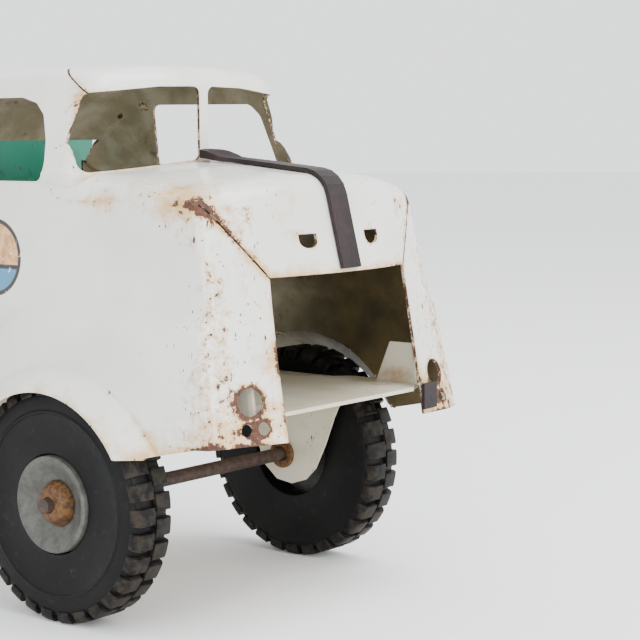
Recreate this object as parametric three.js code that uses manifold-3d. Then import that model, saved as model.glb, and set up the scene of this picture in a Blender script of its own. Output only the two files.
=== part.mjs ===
// A pressed-steel toy dump truck, in millimetres. +X is forward, +Y is the truck's left and
// +Z is up. While it is being built X = 0 is the front axle and Z = 0 is the ground; the last
// lines move everything so that the origin is the middle of the base of the bounding box.
import * as THREE from "three";
import { mergeVertices } from "three/addons/utils/BufferGeometryUtils.js";
import Module from "manifold-3d";

const wasm = await Module();
wasm.setup();

// ---- Driving dimensions -------------------------------------------------------------
const SHEET = 1.0; // steel sheet of the cab and the bed
const PLATE = 1.2; // heavier sheet of the chassis and its brackets
const GAP = 0.3; // clearance between neighbours

const WHEEL_R = 38.1; // 3 inch wheels
const TYRE_IN = 50.5; // inner and outer faces of a tyre, from the middle plane
const TYRE_OUT = 66.5;
const TREAD_R = 36.4; // foot of the lugs
const LUGS = 30;
const HUB_R = 15.6;
const AXLE_R = 2.38; // 3/16 inch rod
const AXLE_END = 69.9;
const REAR_AXLE_X = -290;

const CAB_REAR_X = -104;
const SIDE_LOW = 58.3; // half width of the cab side under its belt line
const FENDER_STEP = 4.2; // how far the fender stands out of the side
const FENDER_TOP_Z = 100;
const ARCH = { x: -2, z: 35, r: 38 };
const LIP_Y = 69.6; // outer edge of the wheel arch flare, the widest point of the truck
const BODY_BOTTOM_Z = 56;
const NOSE_BOTTOM_Z = 60.5;

const HOOD_REAR_Z = 145.3; // hood height on the middle plane
const HOOD_FRONT_Z = 141;
const FLAP = { x: 67, z: 110, lean: 0.25, bow: 0.0035 }; // the hood's turned-down front
const OPENING_HALF = 34; // half width of the opening under the flap
// How far the corner panels fall back per mm towards the sides, at rising heights. At the foot
// the right one is pushed in and the left one is pushed out.
const CORNER_SWEEP = [[110, 0.34], [122, 0.375], [134, 0.408]];
const CORNER_FOOT_Z = 61;
const CORNER_FOOT_SWEEP = { left: 0.02, right: 0.46 };
const CORNER_LEAN = 0.166;
const CORNER_X = 62.95;
const CREASE_R = 3.4; // round between a corner panel and the side
const SEAM_TOP = [53, 133.5]; // upper end of the seam between flap and corner panel

const ROOF_FRONT_Z = 176;
const ROOF_DROP_Z = 151; // lower edge of the roof where it folds down behind the cab
const ROOF_SEAM = [[-3, 166.2], [-17, 174.4]]; // between roof and windshield pillar, as x and z
const DROP_Y = 16; // D-shaped slots in the flap
const HOLES = [[44.9, 73.6, 4.3], [46.8, 65.3, 1.9], [41.6, 65.5, 2]]; // y, z, radius
const SCREEN_X = 6; // windshield plane on the middle plane
const SCREEN_BOW = [[143, 2.1 / 45 ** 2], [169, 6.5 / 45 ** 2]]; // more bowed towards the roof

const DECK_Z = 69.5; // top of the chassis plate
const SHELF_X = 68.2;
const CHASSIS_REAR_X = -372;
const RAIL_Y = 31;
const EAR_Y = 42; // tabs that hold the nose
const RAIL_BOTTOM_Z = 57;

const HINGE = { x: -378, z: 75 }; // bed hinge
const LIFT_ARM = 125; // crank arm, equal to the distance between hinge and crank
const CRANK_X = HINGE.x + LIFT_ARM;
const ROLLER_R = 5.2;
const ROD_R = 2.2;
const FLOOR_Z = HINGE.z + ROLLER_R + GAP; // underside of the bed
const BED_FRONT_X = -110;
const BED_REAR_X = -391;
const BED_SIDE_Z = 138;
const BED_HEAD_Z = 158;
const BED_LOW = 55; // half width of the bed at its floor and at its rim
const BED_TOP = 60;
const BED_RIBS = 5;
const RIB_PITCH = 49;
const SILL_Y = 34;
const BRACKET_Y = 40;
const LEVER_Y = 65.6;
const LEVER = 62;
const GATE_PIN = { x: BED_REAR_X - 1.5, z: 134.5, r: 1.3 };

// ---- Helpers ------------------------------------------------------------------------
const clamp = (v, lo, hi) => Math.min(hi, Math.max(lo, v));
const mix = (a, b, t) => a + (b - a) * t;
const smooth = (v, lo, hi) => {
  const t = clamp((v - lo) / (hi - lo), 0, 1);
  return t * t * (3 - 2 * t);
};
// Value of a broken line given as [at, value] pairs in rising order.
const along = (pairs, at) => {
  const next = pairs.findIndex(([p]) => p >= at);
  if (next === 0) return pairs[0][1];
  if (next < 0) return pairs.at(-1)[1];
  const [[p, v], [q, w]] = [pairs[next - 1], pairs[next]];
  return mix(v, w, (at - p) / (q - p));
};
// A plan ring from its left half, whose last point is on the middle plane.
const mirrorRing = (half) => [...half, ...half.slice(0, -1).reverse().map(([x, y, z]) => [x, -y, z])];

function fromIndexed(position, index) {
  const vertProperties = Float32Array.from(position);
  const triVerts = Uint32Array.from(index);
  return new wasm.Manifold(new wasm.Mesh({ numProp: 3, vertProperties, triVerts }));
}

// A closed three.js geometry as a solid.
function solid(geometry) {
  const g = geometry.clone();
  g.deleteAttribute("normal");
  g.deleteAttribute("uv");
  const merged = mergeVertices(g, 1e-4);
  return fromIndexed(merged.attributes.position.array, merged.index.array);
}

// A solid as a named mesh.
function piece(name, made, color, roughness, metalness = 0) {
  const m = made.getMesh();
  const g = new THREE.BufferGeometry();
  g.setAttribute("position", new THREE.BufferAttribute(m.vertProperties, 3));
  g.setIndex(new THREE.BufferAttribute(m.triVerts, 1));
  g.computeVertexNormals();
  const look = new THREE.MeshStandardMaterial({ color, roughness, metalness });
  const mesh = new THREE.Mesh(g, look);
  mesh.name = name;
  return mesh;
}

// A flat outline stretched along one axis from a to b.
// Along "x" the points are (y, z), along "y" they are (x, z), along "z" they are (x, y).
function prism(points, axis, a, b) {
  const shape = new THREE.Shape(points.map(([u, v]) => new THREE.Vector2(u, v)));
  const g = new THREE.ExtrudeGeometry(shape, { depth: b - a, bevelEnabled: false });
  const place = new THREE.Matrix4();
  if (axis === "x") place.set(0, 0, 1, a, 1, 0, 0, 0, 0, 1, 0, 0, 0, 0, 0, 1);
  if (axis === "y") place.set(1, 0, 0, 0, 0, 0, -1, b, 0, 1, 0, 0, 0, 0, 0, 1);
  if (axis === "z") place.setPosition(0, 0, a);
  return solid(g.applyMatrix4(place));
}

function box(x0, x1, y0, y1, z0, z1) {
  const g = new THREE.BoxGeometry(x1 - x0, y1 - y0, z1 - z0);
  return solid(g.translate((x0 + x1) / 2, (y0 + y1) / 2, (z0 + z1) / 2));
}

// A round bar between two points.
function bar(from, to, radius, sides = 16) {
  const a = new THREE.Vector3(...from);
  const b = new THREE.Vector3(...to);
  const g = new THREE.CylinderGeometry(radius, radius, a.distanceTo(b), sides);
  const way = b.clone().sub(a).normalize();
  g.applyQuaternion(new THREE.Quaternion().setFromUnitVectors(new THREE.Vector3(0, 1, 0), way));
  const middle = a.add(b).multiplyScalar(0.5);
  return solid(g.translate(middle.x, middle.y, middle.z));
}

// A ring of revolution about Y; the profile is a closed loop of [radius, y] points.
function turned(profile, segments) {
  const rings = [];
  for (let i = 0; i < segments; i++) {
    const t = (i / segments) * 2 * Math.PI;
    rings.push(profile.map(([r, y]) => [r * Math.cos(t), y, r * Math.sin(t)]));
  }
  const n = profile.length;
  const index = [];
  for (let i = 0; i < segments; i++)
    for (let j = 0; j < n; j++) {
      const a = i * n + j;
      const b = i * n + ((j + 1) % n);
      const c = ((i + 1) % segments) * n + j;
      const d = ((i + 1) % segments) * n + ((j + 1) % n);
      index.push(a, b, d, a, d, c);
    }
  return outward(rings.flat(2), index);
}

// Turns a closed skin so that it faces out.
function outward(position, index) {
  let volume = 0;
  const at = (i) => new THREE.Vector3(position[3 * i], position[3 * i + 1], position[3 * i + 2]);
  for (let t = 0; t < index.length; t += 3)
    volume += at(index[t]).dot(at(index[t + 1]).cross(at(index[t + 2])));
  const faced = volume > 0 ? index : [...index].reverse();
  return fromIndexed(position, faced);
}

// Rings of equal length joined into a closed skin; each end is closed by a fan.
function loft(rings) {
  const n = rings[0].length;
  const index = [];
  for (let i = 0; i + 1 < rings.length; i++)
    for (let j = 0; j < n; j++) {
      const a = i * n + j;
      const b = i * n + ((j + 1) % n);
      index.push(a, b, b + n, a, b + n, a + n);
    }
  const low = rings.length * n;
  const last = low - n;
  for (let j = 0; j < n; j++) {
    const k = (j + 1) % n;
    index.push(low, k, j, low + 1, last + j, last + k);
  }
  const middle = (ring) => [0, 1, 2].map((c) => ring.reduce((sum, p) => sum + p[c], 0) / n);
  return outward([...rings.flat(2), ...middle(rings[0]), ...middle(rings.at(-1))], index);
}

// An outline with every corner rounded.
function rounded(points, radius, steps = 4) {
  const out = [];
  points.forEach((p, i) => {
    const here = new THREE.Vector2(...p);
    const back = new THREE.Vector2(...points.at(i - 1)).sub(here).normalize();
    const on = new THREE.Vector2(...points[(i + 1) % points.length]).sub(here).normalize();
    const half = Math.acos(clamp(back.dot(on), -1, 1)) / 2;
    const reach = radius / Math.tan(half);
    const centre = here.clone().addScaledVector(back.clone().add(on).normalize(), radius / Math.sin(half));
    const a = here.clone().addScaledVector(back, reach).sub(centre);
    const b = here.clone().addScaledVector(on, reach).sub(centre);
    const sweep = Math.atan2(a.cross(b), a.dot(b));
    for (let k = 0; k <= steps; k++)
      out.push(a.clone().rotateAround(new THREE.Vector2(), (sweep * k) / steps).add(centre).toArray());
  });
  return out;
}

const joined = (...solids) => solids.reduce((a, b) => a.add(b));
const cut = (from, ...tools) => tools.reduce((a, b) => a.subtract(b), from);

// ---- Cab ----------------------------------------------------------------------------
// Every surface takes "t", the depth below the outer skin, so the same functions give the
// outside and the inside of the sheet.
const fenderTop = (x) => FENDER_TOP_Z - 0.02 * Math.max(0, -12 - x) ** 2;
function bodySide(x, z, t) {
  const plain = along([[100, SIDE_LOW], [126, 57.4], [133, 56.4], [139, 55], [150, 54.5]], z);
  const taper = 3.4 * smooth(x, 10, 60) * mix(0.8, 1, smooth(z, 60, 110));
  const step = FENDER_STEP * (1 - smooth(z, fenderTop(x) - 6.5, fenderTop(x) + 0.5));
  return plain + step * (1 - 0.35 * smooth(x, 30, 60)) - taper - t;
}
function cornerPanel(y, z, t) {
  const foot = y < 0 ? CORNER_FOOT_SWEEP.right : CORNER_FOOT_SWEEP.left;
  const sweep = along([[CORNER_FOOT_Z, foot], ...CORNER_SWEEP], z);
  return CORNER_X - sweep * (Math.abs(y) - OPENING_HALF) - CORNER_LEAN * (z - FLAP.z) - t * 1.09;
}
const flapX = (y, z, t) => FLAP.x - FLAP.bow * y * y - FLAP.lean * (z - FLAP.z) - t * 1.03;

// Plan outline of the body at one height: sides, rounded crease, corner panels.
function bodyRing(z, t) {
  const front = [CORNER_X + 14 - CORNER_LEAN * (z - FLAP.z) - t, 0, z]; // ahead of the flap
  const [left, right] = [1, -1].map((side) => {
    const stations = [CAB_REAR_X + t, -60, -48, -38, -28, -12, 12, 30, 44];
    const half = stations.map((x) => [x, side * bodySide(x, z, t), z]);
    let x = 50;
    for (let i = 0; i < 40; i++) x = cornerPanel(side * bodySide(x, z, t), z, t);
    const y = bodySide(x, z, t);
    const r = CREASE_R - t;
    half.push([x - r * 0.95, side * bodySide(x - r, z, t), z]);
    half.push([x - r * 0.42, side * (y - r * 0.08), z]);
    half.push([x - r * 0.02, side * (y - r * 0.42), z]);
    half.push([cornerPanel(side * (y - r), z, t), side * (y - r), z]);
    half.push([cornerPanel(side * OPENING_HALF, z, t), side * OPENING_HALF, z]);
    return half;
  });
  return [...left, front, ...right.reverse()];
}

// Side view of the hood at one distance from the middle plane: cowl, hood, bend, flap.
function hoodRing(y, t) {
  const rim = Math.abs(y);
  const shoulder = (r, from) => (rim > from ? r - Math.sqrt(Math.max(r * r - (rim - from) ** 2, 0)) : 0);
  const rearDrop = 1.5 * (rim / 46) ** 2 + shoulder(10, 46);
  const frontDrop = 6.2 * (rim / 52) ** 2.2 + shoulder(9, 50);
  const dip = 0.8 + 1.9 * Math.sin((Math.PI / 2) * Math.min(rim / 46, 1)); // gutter at the windshield
  const top = (x) =>
    mix(HOOD_REAR_Z, HOOD_FRONT_Z, clamp((x - 6) / 44, 0, 1.3)) -
    mix(rearDrop, frontDrop, smooth(x, 2, 42)) -
    dip * smooth(x, -12, -2) * (1 - smooth(x, 4, 30)) - t;
  const ring = [[CAB_REAR_X + t, y, 40]];
  for (const x of [CAB_REAR_X + t, -12, -6, 4, 12, 18, 24, 32, 41]) ring.push([x, y, top(x)]);
  // The bend: a circle touching the hood line and the flap line.
  const slope = (top(44) - top(41)) / 3;
  const reach = flapX(y, FLAP.z, t) + FLAP.lean * (FLAP.z - top(41) + slope * 41);
  const cross = reach / (1 + FLAP.lean * slope);
  const corner = [cross, top(41) + slope * (cross - 41)];
  const low = [flapX(y, 50, t), 50];
  const bend = rounded([[41, top(41)], corner, low], 9 - t, 4).slice(5, 10);
  for (const [x, z] of bend) ring.push([x, y, z]);
  ring.push([low[0], y, 40]);
  return ring;
}

function bodySolid(t) {
  const levels = [40, 62, 74, 84, 90, 93.5, 97, 100.5, 126, 133, 139, 150];
  const halves = [16, 31, 42, 47, 51, 54, 55.6, 66];
  const stations = [...halves.map((y) => -y).reverse(), 0, ...halves];
  const plan = loft(levels.map((z) => bodyRing(z, t)));
  const view = loft(stations.map((y) => hoodRing(y, t)));
  return plan.intersect(view);
}

// Plan outline of the glasshouse at one height.
function houseRing(z, t) {
  const w = along([[130, 52], [141, 55.6], [182, 38.4]], z) - t;
  const r = 9 - t;
  const bow = along(SCREEN_BOW, z);
  const front = (y) => SCREEN_X - bow * y * y - t;
  const half = [];
  for (let k = 0; k <= 3; k++) {
    const a = (k / 3) * (Math.PI / 2);
    half.push([CAB_REAR_X + t + r - r * Math.cos(a), w - r + r * Math.sin(a), z]);
  }
  for (let k = 0; k <= 4; k++) {
    const a = (k / 4) * (Math.PI / 2);
    half.push([front(w - r) - r + r * Math.sin(a) * 0.97, w - r + r * Math.cos(a), z]);
  }
  for (const y of [34, 24, 12, 0]) half.push([front(y), y, z]);
  return mirrorRing(half);
}

// Side view of the roof at one distance from the middle plane.
function roofRing(y, t) {
  const rim = Math.abs(y);
  const edge = rim > 37 ? 8.5 - Math.sqrt(Math.max(8.5 ** 2 - (rim - 37) ** 2, 0)) : 0;
  const drop = 2 * (rim / 40) ** 2 + edge;
  const front = SCREEN_X - along(SCREEN_BOW, 169) * y * y - t;
  const brow = [[0, -7.5], [0.8, -4.4], [2.9, -1.8], [6.2, -0.3], [10, 0]];
  const roof = [[-20, 176.6], [-45, 176.2], [-66, 174], [-80, 170], [-90, 164.4]];
  const fold = [[-97.5, 156.6], [-101.5, 150], [-103.6, 143]];
  const ring = [[SCREEN_X + 4, y, 130], [SCREEN_X + 4, y, 166 - drop - t]];
  for (const [b, h] of brow) ring.push([front - b, y, ROOF_FRONT_Z + h - drop - t]);
  for (const [x, z] of roof) ring.push([x + t * 0.2, y, z - drop - t]);
  for (const [x, z] of fold) ring.push([x + t * 0.8, y, z - drop * 0.6 - t * 0.6]);
  ring.push([CAB_REAR_X + t, y, 130]);
  return ring;
}

function houseSolid(t) {
  const halves = [16, 30, 37, 41, 43.6, 45.2, 60];
  const stations = [...halves.map((y) => -y).reverse(), 0, ...halves];
  const plan = loft([130, 141, 182].map((z) => houseRing(z, t)));
  const view = loft(stations.map((y) => roofRing(y, t)));
  return plan.intersect(view);
}

// The flare round a front wheel arch: a cone that grows out of the fender.
function flares(t) {
  const cone = [[47.5, 50], [47.5, 60.5], [45.6, 63.4], [42.6, 66.6], [39.6, LIP_Y]];
  const profile = [[20, 50], ...cone.map(([r, y]) => [r - t, y]), [20, LIP_Y]];
  const right = turned(profile.map(([r, y]) => [r, -y]), 40);
  const left = turned(profile, 40);
  const keep = box(-60, 60, -80, 80, BODY_BOTTOM_Z - (t > 0 ? 4 : 0), 100);
  return joined(right, left).translate([ARCH.x, 0, ARCH.z]).intersect(keep);
}

// A thin upright cut between two points of a view along the given axis.
function slit([u0, v0], [u1, v1], width, axis, a, b) {
  const reach = Math.hypot(u1 - u0, v1 - v0);
  const [nu, nv] = [((v1 - v0) / reach) * (width / 2), ((u0 - u1) / reach) * (width / 2)];
  const line = [[u0 - nu, v0 - nv], [u0 + nu, v0 + nv], [u1 + nu, v1 + nv], [u1 - nu, v1 - nv]];
  return prism(line, axis, Math.min(a, b), Math.max(a, b));
}

// What is cut out of one side of the cab.
function sideCuts(side) {
  const flip = (points) => (side > 0 ? points : points.map(([y, z]) => [-y, z]).reverse());
  const pane = flip([
    [2, 144.7], [24, 143], [40, 141.9], [53, 141.2], [51.5, 151], [47.4, 160], [44.6, 166.4],
    [20, 168.6], [2.1, 168.9],
  ]);
  const door = side > 0
    ? [[-68.5, 138.5], [-7.4, 138.5], [-8, 146], [-9.5, 159.5], [-13, 163.6], [-61, 164]]
    : [[-66, 138.5], [-12.4, 138.5], [-13.3, 145], [-15.3, 151.5], [-19.6, 159.4], [-24.5, 163.4],
      [-32, 165.3], [-60, 165.3]];
  const slot = [[DROP_Y - 3.9, 122.4]];
  for (let k = 0; k <= 6; k++) {
    const a = (k / 6) * Math.PI;
    slot.push([DROP_Y - 3.9 * Math.cos(a), 120.4 - 2.4 * Math.sin(a)]);
  }
  slot.push([DROP_Y + 3.9, 122.4]);
  const holes = HOLES.map(([y, z, r]) => {
    const x = cornerPanel(side * y, z, 0);
    return bar([x - 6, side * (y - 2.45), z - 1], [x + 6, side * (y + 2.45), z + 1], r, 20);
  });
  const seam = [[OPENING_HALF - 0.6, FLAP.z - 0.8], [SEAM_TOP[0] - 1, SEAM_TOP[1] - 1.2]];
  return [
    slit(...flip(seam), 0.64, "x", 40, 90),
    slit(...ROOF_SEAM, 0.5, "y", side * 38, side * 60),
    prism(rounded(pane, 2.5, 3), "x", SCREEN_X - 12, SCREEN_X + 2),
    prism(rounded(door, 4), "y", Math.min(side * 20, side * 80), Math.max(side * 20, side * 80)),
    prism(flip(slot), "x", 50, 80),
    ...holes,
  ];
}

function cabShell() {
  const trim = box(-200, 120, -90, 90, BODY_BOTTOM_Z, 200);
  const outer = joined(bodySolid(0).intersect(trim), houseSolid(0), flares(0));
  const inner = joined(bodySolid(SHEET), houseSolid(SHEET), flares(SHEET));
  const mouth = prism(
    [[-OPENING_HALF, FLAP.z], [-OPENING_HALF - 0.9, 85], [-OPENING_HALF - 1, 30],
      [OPENING_HALF + 1, 30], [OPENING_HALF + 0.9, 85], [OPENING_HALF, FLAP.z]],
    "x", 44, 100);
  const foot = [[38, 40], [38, BODY_BOTTOM_Z + 0.5], [54, NOSE_BOTTOM_Z - 0.6],
    [64, NOSE_BOTTOM_Z], [90, NOSE_BOTTOM_Z + 0.8], [90, 40]];
  const arch = bar([ARCH.x, -90, ARCH.z], [ARCH.x, 90, ARCH.z], ARCH.r, 48);
  const back = box(-120, CAB_REAR_X + 12, -49, 49, 30, ROOF_DROP_Z);
  const nose = prism(foot, "y", -80, 80);
  return cut(outer, inner, mouth, nose, arch, back, ...sideCuts(1), ...sideCuts(-1));
}

// The strap that runs down the middle of the hood.
function hoodStrap() {
  const skin = hoodRing(0, 0).filter(([x, , z]) => x > 3 && z > FLAP.z - 6);
  const path = skin.map(([x, , z]) => new THREE.Vector2(x, z));
  path.push(new THREE.Vector2(flapX(0, FLAP.z + 1, 0), FLAP.z + 1));
  const offset = (d, lift) =>
    path.map((p, i) => {
      const a = path[Math.max(i - 1, 0)];
      const b = path[Math.min(i + 1, path.length - 1)];
      const n = b.clone().sub(a).normalize().rotateAround(new THREE.Vector2(), Math.PI / 2);
      return p.clone().addScaledVector(n, d + lift * (1 - smooth(p.x, 7, 20))).toArray();
    });
  const view = prism([...offset(GAP, 1), ...offset(GAP + 1.4, 2.6).reverse()], "y", -8, 8);
  const edge = [[7.4, 1.5], [9, 5.6], [16, 5.8], [21, 4.6], [90, 4.4]];
  const plan = [...edge.map(([x, y]) => [x, -y]), ...edge.reverse()];
  return view.intersect(prism(plan, "z", 90, 170));
}

// What is left of the bumper: a tab hooked round the left corner panel's inner edge.
function bumperTab() {
  const outline = [];
  const reach = [33.2, 34.4, 41];
  for (const y of reach) outline.push([cornerPanel(y, 67, 0) + 1.15, y]);
  for (const y of reach.reverse()) outline.push([cornerPanel(y, 67, 0) + 2.2, y]);
  return prism(outline, "z", 62.5, 71);
}

// ---- Chassis ------------------------------------------------------------------------
// A plate parallel to the middle plane whose outer face is at y = side * face.
function cheekPlate(outline, side, face, thick = PLATE) {
  return prism(outline, "y", side > 0 ? face - thick : -face, side > 0 ? face : thick - face);
}

function chassisFrame() {
  const half = [[CHASSIS_REAR_X, RAIL_Y], [17, RAIL_Y], [35, 44], [47, 44], [47, EAR_Y],
    [64, EAR_Y], [66, 36], [SHELF_X, 33]];
  const plan = [...half.map(([x, y]) => [x, -y]), ...half.reverse()];
  const plate = prism(plan, "z", DECK_Z - PLATE, DECK_Z);
  const rail = [[CHASSIS_REAR_X, RAIL_BOTTOM_Z], [-30, RAIL_BOTTOM_Z], [-30, DECK_Z],
    [CHASSIS_REAR_X, DECK_Z]];
  const ear = [[46.5, DECK_Z - 0.6], [63, DECK_Z - 0.6], [61.5, 83], [52.5, 83]];
  const sides = [-1, 1].flatMap((s) => [cheekPlate(rail, s, RAIL_Y), cheekPlate(ear, s, EAR_Y)]);
  return joined(plate, ...sides);
}

// A folded saddle under the deck that carries an axle.
function axleSaddle(atX, topZ, shoulder) {
  const outer = 48;
  const leg = [[28, topZ], [27, Math.min(61, topZ - 2)], [23, 53], [19, 43], [14.5, 34], [10, 29.5],
    [4, 27.5], [-3, 28.5], [-8.5, 33], [-13, 43], [-18, 53], [-24, topZ - 2], [-25, topZ]];
  const narrow = mix(0.85, 1, shoulder);
  const outline = leg.map(([x, z]) => [x * (z > 50 ? shoulder : narrow), z]).reverse();
  const wide = prism(outline, "y", -outer, outer);
  const hollow = box(-60, 60, PLATE - outer, outer - PLATE, 0, topZ - PLATE);
  const hole = bar([0, -90, WHEEL_R], [0, 90, WHEEL_R], AXLE_R + GAP, 20);
  return cut(wide, hollow, hole).translate([atX, 0, 0]);
}

const axle = () => bar([0, -AXLE_END, 0], [0, AXLE_END, 0], AXLE_R, 20);

// A strap across the deck that holds up the rear of the cab.
const cabStrap = () => box(-96, -84, -57, 57, DECK_Z + GAP, DECK_Z + GAP + PLATE);

// A folded U that stands on the deck and holds a cross rod at hinge height.
function rodBracket(atX, base, side) {
  const low = DECK_Z + GAP;
  const foot = box(base[0], base[1], -side - PLATE, side + PLATE, low, low + PLATE);
  const eye = 4.9;
  const cheek = [[base[0], low], [base[1], low], [base[1], low + 2], [atX + eye, HINGE.z]];
  for (let k = 1; k < 8; k++) {
    const a = (k / 8) * Math.PI;
    cheek.push([atX + eye * Math.cos(a), HINGE.z + eye * Math.sin(a)]);
  }
  cheek.push([atX - eye, HINGE.z]);
  if (base[0] > atX) cheek.push([atX - eye, low + 1], [atX - 3, low]);
  const cheeks = [-1, 1].map((s) => cheekPlate(cheek, s, side + PLATE));
  const hole = bar([atX, -90, HINGE.z], [atX, 90, HINGE.z], ROD_R + GAP, 20);
  return cut(joined(foot, ...cheeks), hole);
}

// ---- Wheels -------------------------------------------------------------------------
// side is +1 for the truck's left, -1 for its right.
const handed = (made, side) => (side > 0 ? made : made.mirror([0, 1, 0]));

function tyre(side) {
  const out = TYRE_OUT;
  const profile = [[HUB_R + GAP, TYRE_IN], [35, TYRE_IN], [TREAD_R, TYRE_IN + 0.6], [TREAD_R, out - 1],
    [35, out - 0.6], [29.3, out], [28.4, out - 0.7], [HUB_R + GAP, out - 0.7]];
  const core = turned(profile, LUGS);
  const lugs = [];
  const centre = (TYRE_IN + TYRE_OUT) / 2;
  for (const [from, to, shift] of [[TYRE_IN + 0.8, centre - 0.5, 0.5], [centre + 0.5, out - 1.2, 0]]) {
    const lug = box(TREAD_R - 1.6, WHEEL_R, from, to, -2.4, 2.4);
    for (let k = 0; k < LUGS; k++) lugs.push(lug.rotate([0, (-360 * (k + shift)) / LUGS, 0]));
  }
  return handed(wasm.Manifold.union([core, ...lugs]), side);
}

function hub(side) {
  const bore = AXLE_R + GAP;
  const profile = [[bore, 53], [6.5, 53], [8, 59], [HUB_R, 59], [HUB_R, 67], [14.2, 67], [8.6, 63.2],
    [bore, 62.6]];
  return handed(turned(profile, 24), side);
}

// A domed push nut on the end of an axle.
function axleCap(side) {
  const bore = AXLE_R + GAP * 0.7;
  const profile = [[bore, 63.6], [7.2, 63.6], [6.4, 66.2], [4.6, 67.5], [bore, 67.9]];
  return handed(turned(profile, 18), side);
}

// ---- Dump bed -----------------------------------------------------------------------
const bedHalf = (z) => mix(BED_LOW, BED_TOP, (z - FLOOR_Z) / (BED_SIDE_Z - FLOOR_Z));

// An outline along X on one side of the bed, given as [distance from the middle plane, z].
const sideBar = (outline, side, a, b) =>
  prism(side > 0 ? outline : outline.map(([y, z]) => [-y, z]).reverse(), "x", a, b);

function dumpBed() {
  const head = bedHalf(BED_HEAD_Z);
  const tub = (t) => [[-BED_LOW + t, FLOOR_Z + t], [BED_LOW - t, FLOOR_Z + t],
    [head - t, BED_HEAD_Z + t * 4], [-head + t, BED_HEAD_Z + t * 4]];
  const outer = prism(tub(0), "x", BED_REAR_X, BED_FRONT_X);
  const inner = prism(tub(SHEET), "x", BED_REAR_X - 10, BED_FRONT_X - SHEET);
  const above = [[BED_REAR_X - 20, BED_SIDE_Z], [BED_FRONT_X - 34, BED_SIDE_Z],
    [BED_FRONT_X - 14, BED_HEAD_Z + 1], [BED_REAR_X - 20, BED_HEAD_Z + 1]];
  const rimLow = BED_SIDE_Z - 1.1;
  const rim = [[BED_TOP - 0.9, rimLow], [BED_TOP + 2.4, rimLow], [BED_TOP + 2.4, BED_SIDE_Z],
    [BED_TOP - 0.9, BED_SIDE_Z]];
  const [low, high] = [FLOOR_Z + 4, BED_SIDE_Z - 0.5];
  const rib = [[bedHalf(low) - 0.6, low], [bedHalf(low) + 1.6, low + 3], [bedHalf(high) + 2, high],
    [bedHalf(high) - 0.6, high]];
  const trims = [];
  for (const side of [-1, 1]) {
    trims.push(sideBar(rim, side, BED_REAR_X, BED_FRONT_X - 33));
    for (let k = 0; k < BED_RIBS; k++) {
      const x = BED_FRONT_X - 52 - k * RIB_PITCH;
      trims.push(sideBar(rib, side, x - 4, x + 4));
    }
  }
  return joined(cut(outer, inner, prism(above, "y", -90, 90)), ...trims);
}

// A sill under the bed, with the hinge hole and a notch for the crank rod.
function bedSill(side) {
  const low = DECK_Z + GAP + PLATE + 0.6;
  const rear = HINGE.x - 6.5;
  const outline = [[rear, low + 1.5], [rear + 1.5, low], [-146, low], [-140, low + 4],
    [-140, FLOOR_Z - GAP], [rear, FLOOR_Z - GAP]];
  const hole = bar([HINGE.x, -90, HINGE.z], [HINGE.x, 90, HINGE.z], ROD_R + GAP, 20);
  const notch = box(CRANK_X - 3.4, CRANK_X + 3.4, -90, 90, 60, HINGE.z + 3);
  return cut(cheekPlate(outline, side, SILL_Y), hole, notch);
}

function gateEar(side) {
  const { x, z, r } = GATE_PIN;
  const outline = [[-382, z - 4], [-382, z + 2.6]];
  for (let k = 0; k <= 6; k++) {
    const a = Math.PI / 2 + (k / 6) * Math.PI;
    outline.push([x + 3 * Math.cos(a), z + 3 * Math.sin(a)]);
  }
  const plate = cheekPlate(outline.reverse(), side, 57.8, 1.1);
  return cut(plate, bar([x, -90, z], [x, 90, z], r + GAP, 16));
}

function tailgate() {
  const { x, z, r } = GATE_PIN;
  const face = BED_REAR_X - 0.8;
  const upright = (half, a, b) =>
    prism([...half.map(([y, v]) => [-y, v]).reverse(), ...half], "x", a, b);
  const low = FLOOR_Z + 0.8;
  const skin = upright([[54.6, low], [56.2, z - 3.4], [56.2, z - 1]], face - SHEET, face);
  const raised = upright([[40, 96], [44, 120]], face - SHEET - 1.4, face - 0.4);
  const dish = upright([[38, 97.5], [42, 118.5]], face - SHEET - 0.3, face + 1);
  const knuckle = bar([x, -56.2, z], [x, 56.2, z], 2.7, 16);
  const bore = bar([x, -90, z], [x, 90, z], r + GAP, 16);
  return cut(joined(skin, raised), dish).add(knuckle).subtract(bore);
}

// ---- Lift crank ---------------------------------------------------------------------
function liftCrank() {
  const z = HINGE.z;
  const rod = bar([CRANK_X, -LEVER_Y - ROD_R, z], [CRANK_X, 43.5, z], ROD_R);
  const arms = [-20, 20].map((y) => bar([CRANK_X, y, z], [CRANK_X + LIFT_ARM, y, z], ROD_R));
  const tip = bar([CRANK_X + LIFT_ARM, -20 - ROD_R, z], [CRANK_X + LIFT_ARM, 20 + ROD_R, z], ROD_R);
  const lever = bar([CRANK_X - ROD_R, -LEVER_Y, z], [CRANK_X + LEVER, -LEVER_Y, z], ROD_R);
  return joined(rod, ...arms, tip, lever);
}

function liftRoller() {
  const bore = ROD_R + GAP;
  const ring = turned([[bore, -16], [ROLLER_R, -16], [ROLLER_R, 16], [bore, 16]], 24);
  return ring.translate([CRANK_X + LIFT_ARM, 0, HINGE.z]);
}

function leverKnob() {
  const profile = [[0, 0], [2.6, 0], [3.7, 3], [3.9, 9], [3.3, 15], [1.8, 18], [0, 18.6]];
  const g = new THREE.LatheGeometry(profile.map(([r, y]) => new THREE.Vector2(r, y)), 16);
  return solid(g.rotateZ(-Math.PI / 2).translate(CRANK_X + LEVER + GAP, -LEVER_Y, HINGE.z));
}

// ---- Assembly -----------------------------------------------------------------------
const WHITE = [0xe2e1db, 0.35];
const GREEN = [0x2d8269, 0.4];
const RUST = [0x6b4530, 0.8, 0.3];
const BROWN = [0x413234, 0.5];
const BLACK = [0x232428, 0.6];
const ZINC = [0x6e706c, 0.5, 0.7];

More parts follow.
